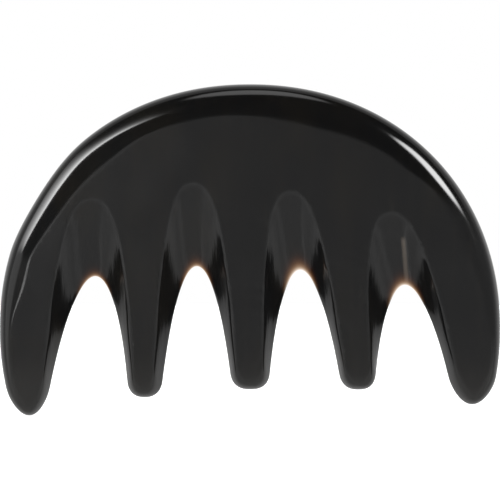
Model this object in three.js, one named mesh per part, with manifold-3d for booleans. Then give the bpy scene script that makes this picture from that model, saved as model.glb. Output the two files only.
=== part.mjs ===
// Beard comb: a half-moon, wide-tooth comb cut and polished from one plate of black horn.
// Millimetres, +Z up, standing on its teeth. X runs along the comb, Y through its thickness.
// The origin is under the middle of the comb, level with its lowest tip, in the plate's middle plane.
//
// The surface is a stack of level outlines, one at each height above the plate's middle plane.
// A level outline follows the rounded rim, goes round each tip and up into each gap. The gaps
// are ground from both faces: on a face each one ends high up in an arch, and from there a
// scallop slopes down to the gap's root, where it meets the scallop of the other face.
//
// The comb is one solid piece. It is parted at the roots of its teeth into a back and five
// teeth, which meet face to face.

import * as THREE from "three";
import { mergeVertices } from "three/addons/utils/BufferGeometryUtils.js";
import Module from "manifold-3d";

// ---- driving dimensions ----

const combWidth = 105; // across the two end teeth, at their widest
const combHeight = 69.5; // lowest tip to the crown of the rim
const thickness = 9.5; // face to face

const widestHeight = 18.3; // level of the greatest width above the lowest tip
const rimSquareness = 2.1; // exponent of the rim's superellipse, 2 for a plain ellipse
const crownRounding = 6.6; // how far in from the rim a face begins, along the crown
const sideRounding = 2.2; // the same, down the outside of the end teeth
const roundingFadeLow = 10; // height below which sideRounding holds
const roundingFadeHigh = 55; // height above which crownRounding holds
const shoulderTrim = 0.55; // how much flatter the left shoulder is ground than the right one
const trimHeight = 46; // level of the middle of that flatter stretch
const trimReach = 12; // how far it runs up and down from there

const endGapInset = 20; // middle of an outer gap, in from the side of the comb
const gulletHeight = 29.4; // root of a gap above the lowest tip
const toothWidth = 7.5; // an inner tooth just above its rounded tip
const toothWidthHeight = 7.8; // the height at which toothWidth is measured
const archPower = 0.34; // how an arch widens well below its top: 0.5 for a parabola
const archCrown = 1.2; // height of the arch's top stretch, which is a parabola
const edgeSoftness = 0.1; // roundness of the edge where two scallops meet
const axisBend = 2.5; // how late a scallop's bottom turns from its arch to the root: 1 for a straight line
const bendFade = 12; // height over which the right side of a gap straightens, from its top down
const wallRoundness = 0.6; // exponent of a tooth's side low down: 1 for flat, less for rounded
const wallFade = 1.2; // how much deeper than the plate's half a scallop runs where that is reached

const partingDrop = 1.6; // parting plane of the teeth below the lowest root of a gap

// Where a face begins wavers along the crown. Each wave is centred on a point of the rim, given
// in degrees round the superellipse from its right end. It dies out over its reach, and at its
// middle it changes the rounding by a share.
const crownWaves = [
  { middle: 36, reach: 13, change: -0.22 },
  { middle: 74, reach: 22, change: 0.18 },
  { middle: 130, reach: 13, change: 0.12 },
  { middle: 171, reach: 9, change: 0.25 },
];

// The comb is shaped by hand, so each gap and each tip has its own small departures.
// offset    middle of the gap's root from its even place along the comb
// raise     root of the gap from gulletHeight
// lean      sideways drift of the gap for each millimetre down from its root
// archShift top of the arch on a face, sideways from the root
// archLean  sideways drift of the arch for each millimetre down from its top
// band      top of the arch below the rim
// spread    how fast the gap opens out below its root
// widen     gap's width at toothWidthHeight beyond its even share, as a factor
const gaps = [
  {
    offset: 0.05, raise: -0.25, lean: -0.059,
    archShift: -0.77, archLean: -0.018, band: 13.6,
    spread: 0.44, widen: 1.045,
  },
  {
    offset: -0.32, raise: 1.84, lean: 0,
    archShift: -0.85, archLean: 0.012, band: 19.8,
    spread: 0.21, widen: 0.945,
  },
  {
    offset: -0.27, raise: 0.99, lean: 0.04,
    archShift: -2.15, archLean: 0.076, band: 22.1,
    spread: 0.5, widen: 0.98,
  },
  {
    offset: 0.06, raise: -2.17, lean: 0.075,
    archShift: -3.13, archLean: 0.145, band: 19.2,
    spread: 0.58, widen: 1.018,
  },
];
// rise      tip above the lowest tip
// cap       height over which the tip closes
// bluntness exponent of the tip's outline, 2 for an ellipse
// rounding  how far up from the tip a face begins
const tips = [
  { rise: 0, cap: 6, bluntness: 2.2, rounding: 3.2 },
  { rise: 3.8, cap: 3.6, bluntness: 2.5, rounding: 2.6 },
  { rise: 5.45, cap: 3.6, bluntness: 2.6, rounding: 2.6 },
  { rise: 5.4, cap: 3.6, bluntness: 2.6, rounding: 2.6 },
  { rise: 2.3, cap: 6, bluntness: 2.1, rounding: 3.2 },
];

const hornColour = 0x141210;
const hornRoughness = 0.12;

// ---- fineness ----

const levelAngles = [0, 14, 28, 43, 58, 74, 90].map((degrees) => THREE.MathUtils.degToRad(degrees));
const crownSteps = 56;
const flankSteps = 4;
const gapSteps = 12; // on each side of a gap
const tipSteps = 5; // on each side of a tip

// ---- rim ----

const halfWidth = combWidth / 2;
const halfThickness = thickness / 2;
const crownReach = combHeight - widestHeight;

const rimHalfWidthAt = (z) =>
  halfWidth * (1 - Math.abs((z - widestHeight) / crownReach) ** rimSquareness) ** (1 / rimSquareness);

const rimHeightAt = (x) =>
  widestHeight + crownReach * (1 - Math.abs(x / halfWidth) ** rimSquareness) ** (1 / rimSquareness);

const roundingAt = (z) =>
  sideRounding +
  (crownRounding - sideRounding) * THREE.MathUtils.smoothstep(z, roundingFadeLow, roundingFadeHigh);

// A bump over -1 to 1 with flat ends.
const bump = (distance) => Math.max(0, 1 - distance ** 2) ** 2;

function crownWaver(angle) {
  const degrees = THREE.MathUtils.radToDeg(angle);
  return crownWaves.reduce((sum, wave) => sum + wave.change * bump((degrees - wave.middle) / wave.reach), 0);
}

// A point of the rim above its widest level, moved in by a share of the rounding there. The
// waver grows with that share, so the outline itself stays true.
function crownPoint(angle, inward) {
  const power = 2 / rimSquareness;
  const across = Math.sign(Math.cos(angle)) * Math.abs(Math.cos(angle)) ** power;
  const up = Math.abs(Math.sin(angle)) ** power;
  const point = new THREE.Vector2(halfWidth * across, widestHeight + crownReach * up);
  const outward = new THREE.Vector2(
    (Math.sign(across) * Math.abs(across) ** (rimSquareness - 1)) / halfWidth,
    up ** (rimSquareness - 1) / crownReach,
  ).normalize();
  const trimmed = across < 0 ? bump((point.y - trimHeight) / trimReach) * shoulderTrim : 0;
  const movedIn = inward * (1 + inward * crownWaver(angle)) * roundingAt(point.y) + trimmed;
  return point.addScaledVector(outward, -movedIn);
}

const flankX = (z, inward) => rimHalfWidthAt(z) - inward * roundingAt(z);

// ---- gaps ----

const gapPitch = (combWidth - 2 * endGapInset) / (gaps.length - 1);

const shapedGaps = gaps.map((gap, index) => {
  const rootX = -halfWidth + endGapInset + index * gapPitch + gap.offset;
  const rootZ = gulletHeight + gap.raise;
  const archX = rootX + gap.archShift;
  const archZ = rimHeightAt(archX) - gap.band;
  return { ...gap, rootX, rootZ, archX, archZ, scallop: archZ - rootZ, reach: 1 };
});

// How many times deeper than the plate's middle plane a scallop would run at height z.
function scallopDepth(gap, z) {
  const below = (gap.rootZ - z) / gap.scallop;
  return 1 + below + gap.spread * Math.max(0, below) ** 2;
}

// Half the width of a gap at height z where the cut is `depth` deep: 0 on a face, 1 in the middle plane.
function gapHalfWidth(gap, z, depth) {
  const belowArch = Math.max(0, gap.archZ - z);
  const deepest = scallopDepth(gap, z);
  const rounded = THREE.MathUtils.smoothstep(deepest, 1, 1 + wallFade);
  const cut = depth ** THREE.MathUtils.lerp(1, wallRoundness, rounded) / deepest;
  const open = belowArch > 0 ? Math.max(0, 1 - cut) : 0;
  const archWidth = Math.sqrt(belowArch) * (belowArch + archCrown) ** (archPower - 0.5);
  return gap.reach * archWidth * Math.sqrt(open);
}

// The middle of a gap, for its left side (-1), its right side (1) or its top (0).
function gapMiddle(gap, z, depth, side = 0) {
  const inMiddlePlane = gap.rootX + gap.lean * (gap.rootZ - z);
  const onFace = gap.archX + gap.archLean * (gap.archZ - z);
  const belowTop = gap.archZ - depth * gap.scallop - z;
  const straight = side > 0 ? THREE.MathUtils.smoothstep(belowTop, 0, bendFade) : 0;
  return THREE.MathUtils.lerp(onFace, inMiddlePlane, depth ** THREE.MathUtils.lerp(axisBend, 1, straight));
}

const gapEdge = (gap, side, z, depth) =>
  gapMiddle(gap, z, depth, side) + side * gapHalfWidth(gap, z, depth);

// Each gap takes what the teeth leave of the spacing just above the tips.
const firstGap = shapedGaps[0];
const lastGap = shapedGaps[shapedGaps.length - 1];
const tipPitch =
  (gapMiddle(lastGap, toothWidthHeight, 1) - gapMiddle(firstGap, toothWidthHeight, 1)) / (gaps.length - 1);
for (const gap of shapedGaps) {
  const wanted = ((tipPitch - toothWidth) / 2) * gap.widen;
  gap.reach = wanted / gapHalfWidth(gap, toothWidthHeight, 1);
}

// ---- level outlines ----

// The edge of tooth `index` on one side (-1 left, 1 right) at height z.
function toothEdge(index, side, z, level) {
  const neighbour = side < 0 ? index - 1 : index;
  const gap = shapedGaps[neighbour];
  if (gap === undefined) return side * flankX(z, level.inward);
  return gapEdge(gap, -side, z, level.depth);
}

const tipZ = (index, level) => tips[index].rise + tips[index].rounding * level.inward;
const capTop = (index, level) => tipZ(index, level) + tips[index].cap;

// Round one tip from the top of its cap on the left to the top of its cap on the right.
function tipPoints(index, level) {
  const { cap, bluntness } = tips[index];
  const points = [];
  for (let step = -tipSteps + 1; step < tipSteps; step += 1) {
    const angle = (step / tipSteps) * (Math.PI / 2);
    const share = Math.abs(Math.sin(angle)) ** (2 / bluntness) * Math.sign(angle);
    const z = tipZ(index, level) + cap * (1 - Math.cos(angle) ** (2 / bluntness));
    const left = toothEdge(index, -1, z, level);
    const right = toothEdge(index, 1, z, level);
    points.push(new THREE.Vector2((left + right) / 2 + (share * (right - left)) / 2, z));
  }
  return points;
}

// Up the left side of a gap to its highest point, and down its right side.
function gapPoints(index, level) {
  const gap = shapedGaps[index];
  const highest = gap.archZ - level.depth * gap.scallop;
  const points = [];
  for (let step = -gapSteps; step <= gapSteps; step += 1) {
    const side = step < 0 ? -1 : 1;
    const bottom = capTop(side < 0 ? index : index + 1, level);
    const z = THREE.MathUtils.lerp(highest, bottom, (step / gapSteps) ** 2);
    const x = step === 0 ? gapMiddle(gap, z, level.depth) : gapEdge(gap, side, z, level.depth);
    points.push(new THREE.Vector2(x, z));
  }
  return points;
}

// The rim from the right end tooth over the crown to the left one.
function rimPoints(level) {
  const points = [];
  for (let step = 0; step < flankSteps; step += 1) {
    const z = THREE.MathUtils.lerp(capTop(tips.length - 1, level), widestHeight, step / flankSteps);
    points.push(new THREE.Vector2(flankX(z, level.inward), z));
  }
  for (let step = 0; step <= crownSteps; step += 1) {
    points.push(crownPoint((step / crownSteps) * Math.PI, level.inward));
  }
  for (let step = 1; step <= flankSteps; step += 1) {
    const z = THREE.MathUtils.lerp(widestHeight, capTop(0, level), step / flankSteps);
    points.push(new THREE.Vector2(-flankX(z, level.inward), z));
  }
  return points;
}

// A level outline, counter-clockwise as seen from the front. The rim's section is a quarter
// ellipse, so `angle` is 0 in the middle plane and a right angle on a face.
function levelOutline(angle) {
  const height = Math.sin(angle);
  const level = {
    inward: 1 - Math.cos(angle),
    depth: 1 + edgeSoftness - Math.hypot(edgeSoftness, Math.sqrt(1 + 2 * edgeSoftness) * height),
  };
  const points = rimPoints(level);
  for (let index = 0; index < tips.length; index += 1) {
    points.push(...tipPoints(index, level));
    if (index < gaps.length) points.push(...gapPoints(index, level));
  }
  return { points, y: halfThickness * height };
}

// ---- whole comb ----

function combGeometry() {
  const outlines = levelAngles.map(levelOutline);
  const ringSize = outlines[0].points.length;
  const positions = [];
  const indices = [];
  const addRing = (outline, side) => {
    const start = positions.length / 3;
    for (const point of outline.points) positions.push(point.x, side * outline.y, point.y);
    return start;
  };
  const addTriangle = (a, b, c, side) => {
    if (side < 0) indices.push(a, b, c);
    else indices.push(a, c, b);
  };

  const middleRing = addRing(outlines[0], 1);
  for (const side of [-1, 1]) {
    let outer = middleRing;
    for (const outline of outlines.slice(1)) {
      const inner = addRing(outline, side);
      for (let here = 0; here < ringSize; here += 1) {
        const next = (here + 1) % ringSize;
        addTriangle(outer + here, outer + next, inner + next, side);
        addTriangle(outer + here, inner + next, inner + here, side);
      }
      outer = inner;
    }
    const face = outlines[outlines.length - 1].points;
    for (const [a, b, c] of THREE.ShapeUtils.triangulateShape(face, [])) {
      addTriangle(outer + a, outer + b, outer + c, side);
    }
  }

  const geometry = new THREE.BufferGeometry();
  geometry.setAttribute("position", new THREE.Float32BufferAttribute(positions, 3));
  geometry.setIndex(indices);
  return geometry;
}

// ---- parting into back and teeth ----

const wasm = await Module();
wasm.setup();

function toSolid(geometry) {
  const bare = geometry.clone();
  bare.deleteAttribute("normal");
  bare.deleteAttribute("uv");
  const merged = mergeVertices(bare, 1e-5);
  return new wasm.Manifold(
    new wasm.Mesh({
      numProp: 3,
      vertProperties: Float32Array.from(merged.attributes.position.array),
      triVerts: Uint32Array.from(merged.index.array),
    }),
  );
}

function toGeometry(solid) {
  const mesh = solid.getMesh();
  const geometry = new THREE.BufferGeometry();
  geometry.setAttribute("position", new THREE.Float32BufferAttribute(mesh.vertProperties, 3));
  geometry.setIndex(Array.from(mesh.triVerts));
  return geometry;
}

// A block between two places along X and two heights, deeper than the comb.
function block(left, right, bottom, top) {
  const geometry = new THREE.BoxGeometry(right - left, 2 * thickness, top - bottom);
  geometry.translate((left + right) / 2, 0, (bottom + top) / 2);
  return toSolid(geometry);
}

const clear = 10; // how far the parting blocks stand out past the comb
const partingHeight = Math.min(...shapedGaps.map((gap) => gap.rootZ)) - partingDrop;

function addPiece(group, name, solid) {
  const material = new THREE.MeshStandardMaterial({
    color: hornColour,
    roughness: hornRoughness,
    metalness: 0,
  });
  const mesh = new THREE.Mesh(toGeometry(solid), material);
  mesh.name = name;
  group.add(mesh);
}

const comb = new THREE.Group();
const whole = toSolid(combGeometry());

const above = block(-halfWidth - clear, halfWidth + clear, partingHeight, combHeight + clear);
addPiece(comb, "back", whole.intersect(above));

const partings = [
  -halfWidth - clear,
  ...shapedGaps.map((gap) => gapMiddle(gap, partingHeight, 1)),
  halfWidth + clear,
];
for (let index = 0; index < tips.length; index += 1) {
  const column = block(partings[index], partings[index + 1], -clear, partingHeight);
  addPiece(comb, `tooth_${index + 1}`, whole.intersect(column));
}

export default comb;
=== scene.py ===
import math

import bpy
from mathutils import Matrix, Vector
from mathutils.kdtree import KDTree


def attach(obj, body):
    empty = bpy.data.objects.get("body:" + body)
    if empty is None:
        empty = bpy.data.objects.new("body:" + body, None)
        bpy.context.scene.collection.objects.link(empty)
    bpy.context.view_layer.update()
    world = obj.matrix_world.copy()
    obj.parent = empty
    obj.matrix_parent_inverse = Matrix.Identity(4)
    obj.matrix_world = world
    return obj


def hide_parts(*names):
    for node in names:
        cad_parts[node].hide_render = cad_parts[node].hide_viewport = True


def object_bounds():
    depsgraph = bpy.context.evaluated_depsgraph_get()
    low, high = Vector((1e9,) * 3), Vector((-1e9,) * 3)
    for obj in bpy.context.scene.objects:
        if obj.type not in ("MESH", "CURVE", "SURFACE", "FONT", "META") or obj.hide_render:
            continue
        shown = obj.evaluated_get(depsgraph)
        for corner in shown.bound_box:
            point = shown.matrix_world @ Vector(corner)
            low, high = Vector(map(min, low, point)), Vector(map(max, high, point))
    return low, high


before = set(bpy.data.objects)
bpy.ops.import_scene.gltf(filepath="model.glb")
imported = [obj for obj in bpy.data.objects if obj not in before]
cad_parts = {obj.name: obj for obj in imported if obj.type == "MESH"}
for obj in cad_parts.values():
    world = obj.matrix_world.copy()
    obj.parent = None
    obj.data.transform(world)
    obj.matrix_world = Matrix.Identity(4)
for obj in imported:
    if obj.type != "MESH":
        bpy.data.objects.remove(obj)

cad_low, cad_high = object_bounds()


# ---- camera ----
# Square to the comb's front and level with its middle. It stands well back with a long
# lens, so that the outline is drawn nearly without perspective.

camera_distance = 1.0
view_width = 0.10495  # of the plane in the middle of the comb's thickness
view_centre_height = cad_high.z * 0.4993
sensor_width = 36  # millimetres, as is the lens

bpy.ops.object.select_all(action="DESELECT")
bpy.ops.object.camera_add(
    location=(0, -camera_distance, view_centre_height),
    rotation=(math.radians(90), 0, 0),
)
camera = bpy.context.object
camera.name = "camera"
camera.data.sensor_width = sensor_width
camera.data.lens = sensor_width * camera_distance / view_width
camera.data.clip_start = 0.01
bpy.context.scene.camera = camera
bpy.context.scene.view_settings.view_transform = "Standard"


# ---- studio ----
# A white sweep behind the comb and a dim room in front, with an unlit ceiling, two soft boxes, a
# strip overhead, pale stands and a pale wall on the left. The comb mirrors them, so each is a
# region of directions round it. X is right, Y is away and Z is up.

# the room in front: a level is a height, and 1 is straight up
room_level = (0.01, -0.03)
room_light = (0.32, 0.42)  # above that level and below it
floor_level = (-0.1, -0.3)
floor_light = 0.5
side_reach = (0.75, 0.95)  # to the left or right, where 1 is straight sideways
side_level = (0.0, -0.2)
side_light = 0.7

# pale stands low in the room, in degrees to the right of the camera
stand_level = (0.05, -0.05)
stands = (
    dict(bearing=-38, reach=8, light=1.0),
    dict(bearing=46, reach=11, light=0.7),
)

# the unlit ceiling: its edge rises and blurs to the right, and comes lower on the left
ceiling_level = (0.04, 0.09)
ceiling_blur = (-0.2, 0.1)
ceiling_rise = 0.5
ceiling_drop = 0.35
ceiling_left_end = (170, 156)  # degrees round the camera's axis
ceiling_turn = (95, 135)
ceiling_light = (0.03, 0.1)  # overhead and on the left

# the sweep behind the comb, by how far a direction points away: its dim edge, then the whole of
# it, lighter high up
sweep_edge = (0.05, 0.15)
sweep_edge_light = 0.4
sweep_full = (0.25, 0.7)
sweep_level = (-0.1, 0.3)
sweep_light = (0.5, 1.0)

# Lamps and pale places as ovals, in degrees: out is the angle from the camera's axis, and turn
# the angle round it, from the right and going up.
main_lamps = (
    # the soft box on the right
    dict(out=64.5, out_reach=10, turn=41.5, turn_reach=12, softness=0.6, slant=-0.3, light=16),
    # the strip overhead
    dict(out=76, out_reach=11, turn=88.5, turn_reach=14.5, softness=0.3, light=1.6),
)
left_lamps = (
    # the wall, about level with the camera, and its brighter end beside the comb
    dict(out=38, out_reach=26, turn=200, turn_reach=24, softness=0.5, light=0.62),
    dict(out=68, out_reach=25, turn=174, turn_reach=18, softness=0.4, light=0.95),
    # a pale edge close beside the camera, brightest at its lower end
    dict(out=5, out_reach=3.5, turn=145, turn_reach=32, softness=0.7, light=0.6),
    dict(out=8, out_reach=4, turn=165, turn_reach=10, softness=0.6, light=1.1),
    dict(out=8, out_reach=4, turn=172, turn_reach=3.5, softness=0.8, light=6),
)

# the soft box on the left, in degrees: its inner edge is sharp, and its light falls outwards. Both
# slants are for each degree round from its turn.
box_turn = 130
box_edge = 49
box_edge_slant = 0.4
box_edge_softness = 2
box_fall = 7  # angle over which the light falls to about a third
box_fall_slant = 0.45
box_least_fall = 5
box_ends = ((108, 128), (168, 142))  # angles round the axis over which each end comes in
box_outer_end = (98, 85)  # the same for its outer end, out from the axis
box_light = 19

room = bpy.data.worlds.new("studio")
room.use_nodes = True
bpy.context.scene.world = room
studio = room.node_tree
studio.nodes.clear()


def put(socket, value):
    """Links a node's socket to another node's, or sets it to a number or a colour."""
    if isinstance(value, bpy.types.NodeSocket):
        socket.id_data.links.new(value, socket)
    else:
        socket.default_value = value


def calculate(tree, operation, *values):
    node = tree.nodes.new("ShaderNodeMath")
    node.operation = operation
    for socket, value in zip(node.inputs, values):
        put(socket, value)
    return node.outputs["Value"]


def multiply(tree, first, second):
    return calculate(tree, "MULTIPLY", first, second)


def fade(tree, value, start, end, low=0.0, high=1.0):
    """A smooth step from low at start to high at end."""
    node = tree.nodes.new("ShaderNodeMapRange")
    node.interpolation_type = "SMOOTHSTEP"
    for name, number in (("From Min", start), ("From Max", end), ("To Min", low), ("To Max", high)):
        put(node.inputs[name], number)
    put(node.inputs["Value"], value)
    return node.outputs["Result"]


def angle_fade(angle, start, end, low=0.0, high=1.0):
    return fade(studio, angle, math.radians(start), math.radians(end), low, high)


def blend(tree, share, first, second):
    """First where share is 0, second where it is 1."""
    node = tree.nodes.new("ShaderNodeMix")
    put(node.inputs["Factor"], share)
    put(node.inputs["A"], first)
    put(node.inputs["B"], second)
    return node.outputs["Result"]


# off_axis is a direction's angle out from the camera's axis, clock its angle round that axis, and
# bearing its angle to the right, seen from above
split = studio.nodes.new("ShaderNodeSeparateXYZ")
put(split.inputs[0], studio.nodes.new("ShaderNodeTexCoord").outputs["Generated"])
right, away, up = split.outputs
towards = multiply(studio, away, -1)
bearing = calculate(studio, "ARCTAN2", right, towards)
off_axis = calculate(studio, "ARCCOSINE", towards)
clock = calculate(studio, "ARCTAN2", up, right)
clock = calculate(studio, "WRAP", clock, math.radians(270), math.radians(-90))

brightness = fade(studio, up, *room_level, *room_light)
brightness = blend(studio, fade(studio, up, *floor_level), brightness, floor_light)
for stand in stands:
    across = calculate(studio, "SUBTRACT", bearing, math.radians(stand["bearing"]))
    width = angle_fade(calculate(studio, "ABSOLUTE", across), stand["reach"], 0)
    pale = multiply(studio, width, fade(studio, up, *stand_level))
    brightness = blend(studio, pale, brightness, stand["light"])
far_side = fade(studio, calculate(studio, "ABSOLUTE", right), *side_reach)
low_side = multiply(studio, far_side, fade(studio, up, *side_level))
brightness = blend(studio, low_side, brightness, side_light)

far_right = calculate(studio, "MAXIMUM", right, 0.0)
far_left = calculate(studio, "MINIMUM", right, 0.0)
above_edge = calculate(studio, "MULTIPLY_ADD", far_right, -ceiling_rise, up)
above_edge = calculate(studio, "MULTIPLY_ADD", far_left, -ceiling_drop, above_edge)
edge_start, edge_end = (
    calculate(studio, "MULTIPLY_ADD", far_right, blur, level)
    for blur, level in zip(ceiling_blur, ceiling_level))
ceiling = fade(studio, above_edge, edge_start, edge_end)
ceiling = multiply(studio, ceiling, angle_fade(clock, *ceiling_left_end))
brightness = blend(
    studio, ceiling, brightness, angle_fade(clock, *ceiling_turn, *ceiling_light))

sweep = fade(studio, up, *sweep_level, *sweep_light)
brightness = blend(studio, fade(studio, away, *sweep_edge), brightness, sweep_edge_light)
brightness = blend(studio, fade(studio, away, *sweep_full), brightness, sweep)


def light_up(before, out, out_reach, turn, turn_reach, softness, light, slant=0.0):
    """Adds an oval lamp to the brightness before it.

    Slant is how far its middle moves out from the axis for each degree round the clock.
    """
    round_it = calculate(studio, "SUBTRACT", clock, math.radians(turn))
    outwards = calculate(studio, "MULTIPLY_ADD", round_it, -slant, off_axis)
    outwards = calculate(studio, "SUBTRACT", outwards, math.radians(out))
    outwards = calculate(studio, "DIVIDE", outwards, math.radians(out_reach))
    round_it = calculate(studio, "DIVIDE", round_it, math.radians(turn_reach))
    squares = [calculate(studio, "POWER", value, 2) for value in (outwards, round_it)]
    distance = calculate(studio, "ADD", *squares)
    return blend(studio, fade(studio, distance, 1 + softness, 1 - softness), before, light)


for lamp in main_lamps:
    brightness = light_up(brightness, **lamp)

slide = calculate(studio, "SUBTRACT", clock, math.radians(box_turn))
inner_edge = calculate(studio, "MULTIPLY_ADD", slide, box_edge_slant, math.radians(box_edge))
past_edge = calculate(studio, "SUBTRACT", off_axis, inner_edge)
fall = calculate(studio, "MULTIPLY_ADD", slide, box_fall_slant, math.radians(box_fall))
fall = calculate(studio, "MAXIMUM", fall, math.radians(box_least_fall))
falling = calculate(studio, "DIVIDE", past_edge, multiply(studio, fall, -1))
glow = multiply(studio, calculate(studio, "EXPONENT", falling), box_light)
box = angle_fade(past_edge, -box_edge_softness, box_edge_softness)
for end in box_ends:
    box = multiply(studio, box, angle_fade(clock, *end))
box = multiply(studio, box, angle_fade(off_axis, *box_outer_end))
brightness = calculate(studio, "ADD", brightness, multiply(studio, box, glow))

for lamp in left_lamps:
    brightness = light_up(brightness, **lamp)

# to the camera itself the whole room is plain white
seen = studio.nodes.new("ShaderNodeLightPath").outputs["Is Camera Ray"]
brightness = blend(studio, seen, brightness, 1.0)
background = studio.nodes.new("ShaderNodeBackground")
background.inputs["Color"].default_value = (1, 1, 1, 1)
put(background.inputs["Strength"], brightness)
output = studio.nodes.new("ShaderNodeOutputWorld")
put(output.inputs["Surface"], background.outputs[0])


# ---- floor ----
# A plain white table, level with the tip of the lowest tooth. The comb doesn't mirror it:
# what is under the comb in the studio stands for it.

floor_size = 4.0
table_white = (0.8, 0.8, 0.8, 1)
table_glow = 0.7

bpy.ops.object.select_all(action="DESELECT")
bpy.ops.mesh.primitive_plane_add(size=floor_size, location=(0, 0, cad_low.z))
floor = bpy.context.object
floor.name = "floor"
floor.visible_glossy = False
paint = bpy.data.materials.new("table_white")
paint.use_nodes = True
paint_shader = paint.node_tree.nodes["Principled BSDF"]
paint_shader.inputs["Base Color"].default_value = table_white
paint_shader.inputs["Roughness"].default_value = 0.9
paint_shader.inputs["Specular IOR Level"].default_value = 0.1
paint_shader.inputs["Emission Color"].default_value = (1, 1, 1, 1)
paint_shader.inputs["Emission Strength"].default_value = table_glow
floor.data.materials.append(paint)


# ---- comb ----
# One plate of black horn, cut to a half moon, sawn into five teeth and polished by hand. The
# gaps are ground from both faces, so that each ends in two scallops that meet at its root.
# It is modelled as a stack of outlines from the middle plane out to a face, then mirrored.

comb_width = cad_high.x - cad_low.x
comb_height = cad_high.z - cad_low.z
half_width = comb_width / 2
half_thickness = (cad_high.y - cad_low.y) / 2

widest_height = 0.0183
crown_reach = comb_height - widest_height
rim_squareness = 2.1  # exponent of the rim's superellipse
crown_rounding = 0.0066  # how far in from the rim a face begins, along the crown
side_rounding = 0.0022  # the same, down the outside of the end teeth
rounding_fade = (0.010, 0.055)  # heights between which one turns to the other
shoulder_trim = 0.00055  # how much flatter the left shoulder is ground than the right one
trim_height = 0.046
trim_reach = 0.012
# where the face begins wavers along the crown: middle and reach in degrees, share of the rounding
crown_waves = ((36, 13, -0.22), (74, 22, 0.18), (130, 13, 0.12), (171, 9, 0.25))

end_gap_inset = 0.020
gullet_height = 0.0294
tooth_width = 0.0075
tooth_width_height = 0.0078
arch_power = 0.34
arch_crown = 0.0012
edge_softness = 0.1
axis_bend = 2.5  # how late a scallop's bottom turns from its arch to the root: 1 for a straight line
bend_fade = 0.012  # height over which the right side of a gap straightens, from its top down
wall_roundness = 0.6  # exponent of a tooth's side low down: 1 for flat, less for rounded
wall_fade = 1.2  # how much deeper than the plate's half a scallop runs where that is reached

# Each gap has its own small departures, as in the CAD model: the place, height and lean of its
# root, the place and lean of the arch on a face, the band of horn above it, how fast it opens
# below its root, and its width. Clear is how thick the horn may be there and still have its painted
# glow, which stands in for light through the horn, as pale as cream, and glow how much further it
# takes for that painted glow to darken to about a third.
gap_table = (
    dict(offset=0.00005, rise=-0.00025, lean=-0.059,
         arch_shift=-0.00077, arch_lean=-0.018, band=0.0136, spread=0.44, widen=1.045,
         clear=0.0001, glow=0.0003),
    dict(offset=-0.00032, rise=0.00184, lean=0.0,
         arch_shift=-0.00085, arch_lean=0.012, band=0.0198, spread=0.21, widen=0.945,
         clear=0.0001, glow=0.00034),
    dict(offset=-0.00027, rise=0.00099, lean=0.04,
         arch_shift=-0.00215, arch_lean=0.076, band=0.0221, spread=0.5, widen=0.98,
         clear=0.00036, glow=0.00045),
    dict(offset=0.00006, rise=-0.00217, lean=0.075,
         arch_shift=-0.00313, arch_lean=0.145, band=0.0192, spread=0.58, widen=1.018,
         clear=0.00034, glow=0.0004),
)
# Each tip: height above the lowest, height of its cap, bluntness, and how far up a face begins.
tip_table = (
    dict(rise=0.0, cap=0.006, bluntness=2.2, rounding=0.0032),
    dict(rise=0.0038, cap=0.0036, bluntness=2.5, rounding=0.0026),
    dict(rise=0.00545, cap=0.0036, bluntness=2.6, rounding=0.0026),
    dict(rise=0.0054, cap=0.0036, bluntness=2.6, rounding=0.0026),
    dict(rise=0.0023, cap=0.006, bluntness=2.1, rounding=0.0032),
)

crown_steps = 340
flank_steps = 16
gap_steps = 44  # on each side of a gap
tip_steps = 12  # on each side of a tip
level_count = 26  # outlines above the one in the middle plane
scallop_crowding = 1.4  # exponent that draws a scallop's rows of faces towards the middle plane
root_crowding = 2  # exponent that draws a gap's points towards its root
row_fade = (0.7, 1.0)  # shares of the way down a gap where its rows come level with the tips'

face_border = 0.0006  # a narrow strip inside the flat face, which keeps its shading flat
edge_easing = 0.0002  # off the edge between face and scallops, by a last rub of the cloth
edge_easing_steps = 3
flatness = 1e-9  # how far a face's normal may be from straight out
same_plane = 1e-7
same_point = 1e-6


def mix(first, second, share):
    return first + (second - first) * share


def smooth(value, start, end):
    share = min(1.0, max(0.0, (value - start) / (end - start)))
    return share * share * (3 - 2 * share)


def rim_half_width(z):
    drop = abs((z - widest_height) / crown_reach) ** rim_squareness
    return half_width * (1 - drop) ** (1 / rim_squareness)


def rim_height(x):
    drop = abs(x / half_width) ** rim_squareness
    return widest_height + crown_reach * (1 - drop) ** (1 / rim_squareness)


def rounding(z):
    return mix(side_rounding, crown_rounding, smooth(z, *rounding_fade))


def bump(distance):
    """1 at no distance, and gently down to 0 at a distance of 1."""
    return max(0.0, 1 - distance ** 2) ** 2


def crown_point(angle, inward):
    """A point of the crown, inward being its share of the way from the rim to the face."""
    power = 2 / rim_squareness
    across = math.copysign(abs(math.cos(angle)) ** power, math.cos(angle))
    raised = abs(math.sin(angle)) ** power
    x, z = half_width * across, widest_height + crown_reach * raised
    outward = Vector((
        math.copysign(abs(across) ** (rim_squareness - 1), across) / half_width,
        raised ** (rim_squareness - 1) / crown_reach,
    )).normalized()
    trimmed = bump((z - trim_height) / trim_reach) * shoulder_trim if across < 0 else 0.0
    waver = sum(
        change * bump((math.degrees(angle) - middle) / reach) for middle, reach, change in crown_waves)
    moved_in = inward * (1 + inward * waver) * rounding(z) + trimmed
    return x - outward.x * moved_in, z - outward.y * moved_in


def flank_x(z, inward):
    return rim_half_width(z) - inward * rounding(z)


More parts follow.
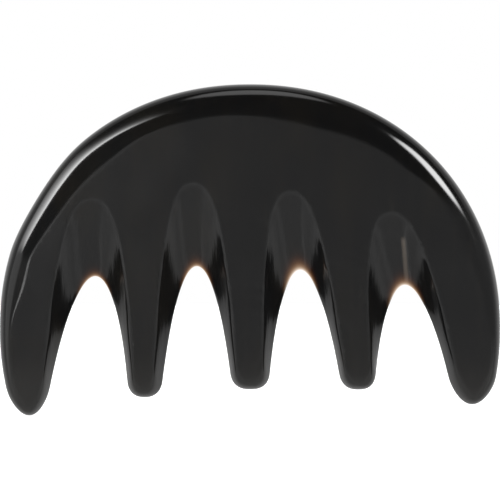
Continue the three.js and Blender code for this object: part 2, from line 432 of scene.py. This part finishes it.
gap_pitch = (comb_width - 2 * end_gap_inset) / (len(gap_table) - 1)
gaps = []
for index, entry in enumerate(gap_table):
    gap = dict(entry)
    gap["root_x"] = -half_width + end_gap_inset + index * gap_pitch + gap["offset"]
    gap["root_z"] = gullet_height + gap["rise"]
    gap["arch_x"] = gap["root_x"] + gap["arch_shift"]
    gap["arch_z"] = rim_height(gap["arch_x"]) - gap["band"]
    gap["scallop"] = gap["arch_z"] - gap["root_z"]
    gap["reach"] = 1.0
    gaps.append(gap)


def gap_half_width(gap, z, depth):
    """Half a gap's width at a height, depth being 0 on a face and 1 in the middle plane."""
    below_root = (gap["root_z"] - z) / gap["scallop"]
    deepest = 1 + below_root + gap["spread"] * max(0.0, below_root) ** 2
    below_arch = max(0.0, gap["arch_z"] - z)
    share = depth / deepest
    if deepest > 1:
        share = depth ** mix(1.0, wall_roundness, smooth(deepest, 1.0, 1 + wall_fade)) / deepest
    opened = max(0.0, 1 - share) if below_arch > 0 else 0.0
    arch = math.sqrt(below_arch) * (below_arch + arch_crown) ** (arch_power - 0.5)
    return gap["reach"] * arch * math.sqrt(opened)


def gap_middle(gap, z, depth, side=0):
    in_middle_plane = gap["root_x"] + gap["lean"] * (gap["root_z"] - z)
    on_face = gap["arch_x"] + gap["arch_lean"] * (gap["arch_z"] - z)
    below = smooth(gap["arch_z"] - gap["scallop"] * depth - z, 0.0, bend_fade)
    late = axis_bend if side <= 0 else mix(axis_bend, 1.0, below)
    return mix(on_face, in_middle_plane, depth ** late)


# the five teeth share what the gaps leave, at the height where a tooth's width is given
tip_pitch = (
    gap_middle(gaps[-1], tooth_width_height, 1) - gap_middle(gaps[0], tooth_width_height, 1)
) / (len(gaps) - 1)
for gap in gaps:
    wanted = (tip_pitch - tooth_width) / 2 * gap["widen"]
    gap["reach"] = wanted / gap_half_width(gap, tooth_width_height, 1)


def cut_depth(height):
    """How deep a scallop is at a height above the middle plane, both as shares."""
    return 1 + edge_softness - math.hypot(edge_softness, math.sqrt(1 + 2 * edge_softness) * height)


def tooth_edge(index, side, z, inward, depth):
    neighbour = index - 1 if side < 0 else index
    if neighbour < 0 or neighbour >= len(gaps):
        return side * flank_x(z, inward)
    gap = gaps[neighbour]
    return gap_middle(gap, z, depth, -side) - side * gap_half_width(gap, z, depth)


def cap_top(index, inward):
    tip = tip_table[index]
    return tip["rise"] + tip["rounding"] * inward + tip["cap"]


def outline(share):
    """The points of the outline at a share of the way from the middle plane to a face.

    On the rim and the tips the share is an angle round a quarter ellipse. In a scallop it is a
    height, so that the rows of faces stay evenly wide right up to the scallop's edge.
    """
    angle = share * math.pi / 2
    inward = 1 - math.cos(angle)
    level = math.sin(angle)
    depth = cut_depth(level)
    scallop_level = share ** scallop_crowding
    points = []

    def add(x, z, height):
        points.append(Vector((x, -half_thickness * height, z)))

    last = len(tip_table) - 1
    for step in range(flank_steps):
        z = mix(cap_top(last, inward), widest_height, step / flank_steps)
        add(flank_x(z, inward), z, level)
    for step in range(crown_steps + 1):
        x, z = crown_point(step / crown_steps * math.pi, inward)
        add(x, z, level)
    for step in range(1, flank_steps + 1):
        z = mix(widest_height, cap_top(0, inward), step / flank_steps)
        add(-flank_x(z, inward), z, level)

    for index, tip in enumerate(tip_table):
        for step in range(-tip_steps + 1, tip_steps):
            turn = step / tip_steps * math.pi / 2
            across = math.copysign(abs(math.sin(turn)) ** (2 / tip["bluntness"]), turn)
            lift = tip["cap"] * (1 - math.cos(turn) ** (2 / tip["bluntness"]))
            z = tip["rise"] + tip["rounding"] * inward + lift
            left_edge = tooth_edge(index, -1, z, inward, depth)
            right_edge = tooth_edge(index, 1, z, inward, depth)
            add(mix(left_edge, right_edge, (1 + across) / 2), z, level)
        if index == last:
            break
        gap = gaps[index]
        for step in range(-gap_steps, gap_steps + 1):
            down = abs(step) / gap_steps
            height = mix(scallop_level, level, smooth(down, *row_fade))
            cut = cut_depth(height)
            bottom = cap_top(index if step < 0 else index + 1, inward)
            z = mix(gap["arch_z"] - cut * gap["scallop"], bottom, down ** root_crowding)
            half = 0.0 if step == 0 else gap_half_width(gap, z, cut)
            add(gap_middle(gap, z, cut, step) + math.copysign(half, step), z, height)
    return points


middle_outline = outline(0)
bpy.ops.object.select_all(action="DESELECT")
bpy.ops.mesh.primitive_circle_add(vertices=len(middle_outline), radius=half_width, fill_type="NOTHING")
comb = bpy.context.object
comb.name = "comb"
mesh = comb.data
mesh.attributes.new("outline_number", "INT", "POINT")
numbers = mesh.attributes["outline_number"].data
for vertex in mesh.vertices:
    vertex.co = middle_outline[vertex.index]
    numbers[vertex.index].value = vertex.index

for level in range(1, level_count + 1):
    level_outline = outline(level / level_count)
    bpy.ops.object.mode_set(mode="EDIT")
    if level == 1:
        bpy.ops.mesh.select_all(action="SELECT")
    bpy.ops.mesh.extrude_edges_move()
    bpy.ops.object.mode_set(mode="OBJECT")
    numbers = mesh.attributes["outline_number"].data
    for vertex in mesh.vertices:
        if vertex.select:
            vertex.co = level_outline[numbers[vertex.index].value]

bpy.ops.object.mode_set(mode="EDIT")
bpy.ops.mesh.edge_face_add()
bpy.ops.mesh.inset(thickness=face_border)
bpy.ops.object.mode_set(mode="OBJECT")

# the edge to ease is where the flat face meets faces that aren't flat
is_flat = [abs(abs(polygon.normal.y) - 1) < flatness for polygon in mesh.polygons]
neighbours = {}
for polygon in mesh.polygons:
    for key in polygon.edge_keys:
        neighbours.setdefault(key, []).append(is_flat[polygon.index])
bpy.ops.object.mode_set(mode="EDIT")
bpy.ops.mesh.select_all(action="DESELECT")
bpy.ops.mesh.select_mode(type="EDGE")
bpy.ops.object.mode_set(mode="OBJECT")
for edge in mesh.edges:
    ends = [mesh.vertices[corner].co.y for corner in edge.vertices]
    on_face = max(abs(y + half_thickness) for y in ends) < same_plane
    edge.select = on_face and sorted(neighbours.get(edge.key, [])) == [False, True]
bpy.ops.object.mode_set(mode="EDIT")
bpy.ops.mesh.bevel(
    offset=edge_easing, segments=edge_easing_steps, profile=0.5, affect="EDGES", clamp_overlap=True)
bpy.ops.object.mode_set(mode="OBJECT")

mirror = comb.modifiers.new("other_half", "MIRROR")
mirror.use_axis = (False, True, False)
mirror.use_clip = True
mirror.merge_threshold = same_point
bpy.ops.object.modifier_apply(modifier=mirror.name)
bpy.ops.object.mode_set(mode="EDIT")
bpy.ops.mesh.select_all(action="SELECT")
bpy.ops.mesh.normals_make_consistent(inside=False)
bpy.ops.object.mode_set(mode="OBJECT")
bpy.ops.object.shade_smooth()

# What the material needs to know of each point: how far it lies inside a ground scallop, whether
# it is on the eased edge round one, which is worn rougher and painted lighter as a highlight, and a
# painted glow that stands in for the light that comes through the horn where it is thin.
ground_fade = 0.0006  # below the face, over which the ground finish takes over from the polish
worn_and_highlit_reach = 0.6 * edge_easing  # from the arch's edge
glow_fade = (0.002, 0.0065)  # distances from a root between which the painted glow fades out
glow_reach = (1.0, 0.76, 0.6)  # red, green and blue of the painted glow, as shares of a gap's glow

gap_numbers = set()
first_number = 2 * flank_steps + crown_steps + 1
for index in range(len(gaps)):
    first_number += 2 * tip_steps - 1
    gap_numbers.update(range(first_number, first_number + 2 * gap_steps + 1))
    first_number += 2 * gap_steps + 1
face_outline = outline(1)
arch_points = KDTree(len(gap_numbers))
for position, number in enumerate(sorted(gap_numbers)):
    arch_points.insert(face_outline[number], position)
arch_points.balance()


def painted_glow(point):
    """The colour of a painted glow that stands in for the light passing from behind, by how thick the
    horn is.
    """
    gap = min(gaps, key=lambda entry: abs(entry["root_x"] - point.x))
    from_root = math.hypot(gap["root_x"] - point.x, gap["root_z"] - point.z)
    nearness = 1 - smooth(from_root, *glow_fade)
    extra = max(0.0, 2 * abs(point.y) - gap["clear"])
    return [nearness * math.exp(-extra / (gap["glow"] * reach)) for reach in glow_reach]


numbers = [entry.value for entry in mesh.attributes["outline_number"].data]
for name, kind in (("ground", "FLOAT"), ("worn_and_highlit_edge", "FLOAT"), ("painted_glow_through", "FLOAT_COLOR")):
    mesh.attributes.new(name, kind, "POINT")
ground, worn_and_highlit_edge, painted_glow_through = (
    mesh.attributes[name].data for name in ("ground", "worn_and_highlit_edge", "painted_glow_through"))
for vertex in mesh.vertices:
    sunk = half_thickness - abs(vertex.co.y)
    near_arch = arch_points.find(Vector((vertex.co.x, -abs(vertex.co.y), vertex.co.z)))[2]
    in_gap = numbers[vertex.index] in gap_numbers and sunk > edge_easing / 2
    if in_gap:
        ground[vertex.index].value = smooth(sunk, 0.0, ground_fade)
    # the eased edge is worn rougher and painted lighter as a highlight
    worn_and_highlit_edge[vertex.index].value = 1.0 if near_arch < worn_and_highlit_reach else 0.0
    light = painted_glow(vertex.co) if in_gap else (0.0, 0.0, 0.0)
    painted_glow_through[vertex.index].color = (*light, 1.0)
mesh.attributes.remove(mesh.attributes["outline_number"])

# Polished black horn: faint olive and brown clouds drawn out along the teeth and stronger at the
# left end, grinding marks left in the scallops, a slightly duller polish at the tips, and painted
# amber and a painted glow where light would come through the thin horn. Colours are linear, and a
# noise scale is given along X, Y and Z.
horn_black = (0.0036, 0.0036, 0.0037, 1)
cloud_brown = (0.0085, 0.007, 0.0045, 1)
cloud_scale = (90, 110, 38)
cloud_border = (0.42, 0.72)  # values of the noise, as in the other borders
cloud_strength = 0.4
warm_end_extra = 0.6
warm_end_places = (-0.028, -0.047)
streak_brown = (0.011, 0.0095, 0.0075, 1)
streak_scale = (900, 900, 60)
streak_border = (0.45, 0.8)
streak_strength = 0.25
# a lighter grey painted along the eased edge, standing in for a thin highlight there
edge_highlight_grey = (0.012, 0.012, 0.012, 1)
edge_highlight_strength = 0.6
handled_grey = (0.011, 0.0105, 0.0095, 1)
handled_strength = 0.8
handled_heights = (0.014, 0.005)
# painted amber for the thin horn, standing in for light coming through it
painted_amber = (0.16, 0.07, 0.028, 1)
painted_amber_strength = 0.8

polish_roughness = (0.085, 0.115)
polish_scale = (140, 140, 90)
polish_border = (0.3, 0.7)
handled_roughness = 0.05
ground_roughness = 0.04
worn_roughness = 0.12
wave_depth = 0.00004  # of the long waves that hand polishing leaves
wave_scale = (110, 110, 110)
mark_depth = 0.00004  # of the fine marks that the grinding wheel leaves
mark_scale = (1700, 900, 90)

# one pale cream streak in the colour, only in the scallop of the last gap
cream_line_colour = (0.07, 0.058, 0.047, 1)
cream_line_strength = 0.9
cream_line_foot = 0.03546  # where its line meets the table
cream_line_lean = -0.092
cream_line_edge = (0.0007, 0.0001)  # distances from its line
cream_line_ends = ((0.0378, 0.0365), (0.0265, 0.0285))  # heights, at its top and its foot

horn = bpy.data.materials.new("black_horn")
horn.use_nodes = True
tree = horn.node_tree
horn_shader = tree.nodes["Principled BSDF"]
horn_shader.inputs["IOR"].default_value = 1.54
# full emission strength for the painted glow of the thin horn
horn_shader.inputs["Emission Strength"].default_value = 1.0
grain = tree.nodes.new("ShaderNodeTexCoord").outputs["Object"]
grain_axes = tree.nodes.new("ShaderNodeSeparateXYZ")
put(grain_axes.inputs[0], grain)
grain_x, grain_z = grain_axes.outputs["X"], grain_axes.outputs["Z"]


def attribute(name, output_name="Fac"):
    node = tree.nodes.new("ShaderNodeAttribute")
    node.attribute_name = name
    return node.outputs[output_name]


def noise(scale, detail=3.0):
    """Noise between 0 and 1, with its own scale along X, Y and Z."""
    stretch = tree.nodes.new("ShaderNodeVectorMath")
    stretch.operation = "MULTIPLY"
    stretch.inputs[1].default_value = scale
    put(stretch.inputs[0], grain)
    node = tree.nodes.new("ShaderNodeTexNoise")
    node.inputs["Scale"].default_value = 1.0
    node.inputs["Detail"].default_value = detail
    put(node.inputs["Vector"], stretch.outputs[0])
    return node.outputs["Fac"]


def stain(before, share, strength, stained):
    """The colour before, stained with another one where share is high."""
    node = tree.nodes.new("ShaderNodeMix")
    node.data_type = "RGBA"
    put(node.inputs[0], multiply(tree, share, strength))
    put(node.inputs[6], before)
    put(node.inputs[7], stained)
    return node.outputs[2]


def relief(height, depth, below=None):
    node = tree.nodes.new("ShaderNodeBump")
    node.inputs["Strength"].default_value = 1.0
    node.inputs["Distance"].default_value = depth
    put(node.inputs["Height"], height)
    if below:
        put(node.inputs["Normal"], below)
    return node.outputs["Normal"]


handled = fade(tree, grain_z, *handled_heights)
warm_end = fade(tree, grain_x, *warm_end_places)
cloudiness = calculate(tree, "MULTIPLY_ADD", warm_end, warm_end_extra, cloud_strength)
cream_line_middle = calculate(tree, "MULTIPLY_ADD", grain_z, cream_line_lean, cream_line_foot)
cream_line = calculate(tree, "ABSOLUTE", calculate(tree, "SUBTRACT", grain_x, cream_line_middle))
cream_line = fade(tree, cream_line, *cream_line_edge)
for heights in cream_line_ends:
    cream_line = multiply(tree, cream_line, fade(tree, grain_z, *heights))
cream_line = multiply(tree, cream_line, attribute("ground"))
painted_glow_colour = attribute("painted_glow_through", "Color")
painted_glow_parts = tree.nodes.new("ShaderNodeSeparateColor")
put(painted_glow_parts.inputs[0], painted_glow_colour)

clouds = fade(tree, noise(cloud_scale), *cloud_border)
streaks = fade(tree, noise(streak_scale), *streak_border)
colour = stain(horn_black, clouds, cloudiness, cloud_brown)
colour = stain(colour, streaks, streak_strength, streak_brown)
# lighter along the eased edge: a painted highlight
colour = stain(colour, attribute("worn_and_highlit_edge"), edge_highlight_strength, edge_highlight_grey)
colour = stain(colour, handled, handled_strength, handled_grey)
colour = stain(colour, cream_line, cream_line_strength, cream_line_colour)
# painted amber where the horn is thin, standing in for light coming through it
colour = stain(colour, painted_glow_parts.outputs["Red"], painted_amber_strength, painted_amber)
put(horn_shader.inputs["Base Color"], colour)
# the painted glow goes into emission, so the thin horn round the roots glows of itself
put(horn_shader.inputs["Emission Color"], painted_glow_colour)

roughness = fade(tree, noise(polish_scale), *polish_border, *polish_roughness)
roughness = calculate(tree, "MULTIPLY_ADD", handled, handled_roughness, roughness)
roughness = calculate(tree, "MULTIPLY_ADD", attribute("ground"), ground_roughness, roughness)
roughness = calculate(tree, "MULTIPLY_ADD", attribute("worn_and_highlit_edge"), worn_roughness, roughness)
put(horn_shader.inputs["Roughness"], roughness)

waves = relief(noise(wave_scale, 0.0), wave_depth)
marks = multiply(tree, noise(mark_scale), attribute("ground"))
put(horn_shader.inputs["Normal"], relief(marks, mark_depth, waves))
mesh.materials.clear()
mesh.materials.append(horn)

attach(comb, "root")
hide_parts("back", "tooth_1", "tooth_2", "tooth_3", "tooth_4", "tooth_5")
